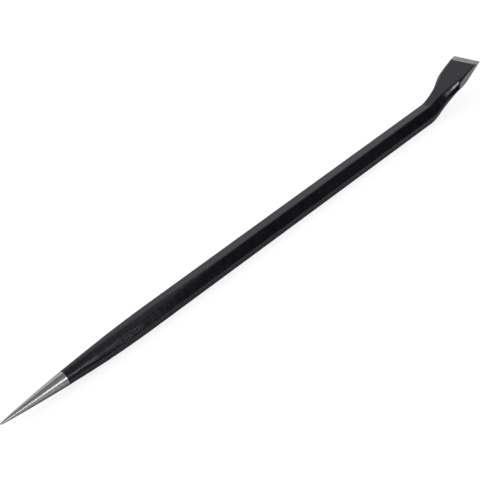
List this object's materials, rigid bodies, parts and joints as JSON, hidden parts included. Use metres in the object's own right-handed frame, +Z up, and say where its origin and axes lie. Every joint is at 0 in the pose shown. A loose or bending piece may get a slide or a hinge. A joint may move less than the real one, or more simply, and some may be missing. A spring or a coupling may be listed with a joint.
{
  "type": "alignment bar",
  "caption": "Straight hexagonal steel bar with a long ground point at one end and a bent, flared chisel with a bevelled edge at the other.",
  "frame": {"origin": "on the plane of the bottom flat of the hexagon, under the middle of the bar's overall length", "axes": "+X along the bar from the ground point to the cutting edge, +Y across the blade, +Z up, the way the chisel bends"},
  "size_m": [0.6096, 0.0338, 0.0366],
  "materials": {
    "black_finish": "semi-gloss black over forged steel, a little rough where the taper was drawn",
    "ground_steel": "bright steel, fine ground, with the marks running round the point and across the bevel"
  },
  "bodies": {
    "root": {"ground_point": "ground_steel", "drawn_taper": "black_finish", "hex_shank": "black_finish", "bent_neck": "black_finish", "chisel_blade": "black_finish", "cutting_edge": "ground_steel"}
  },
  "joints": []
}
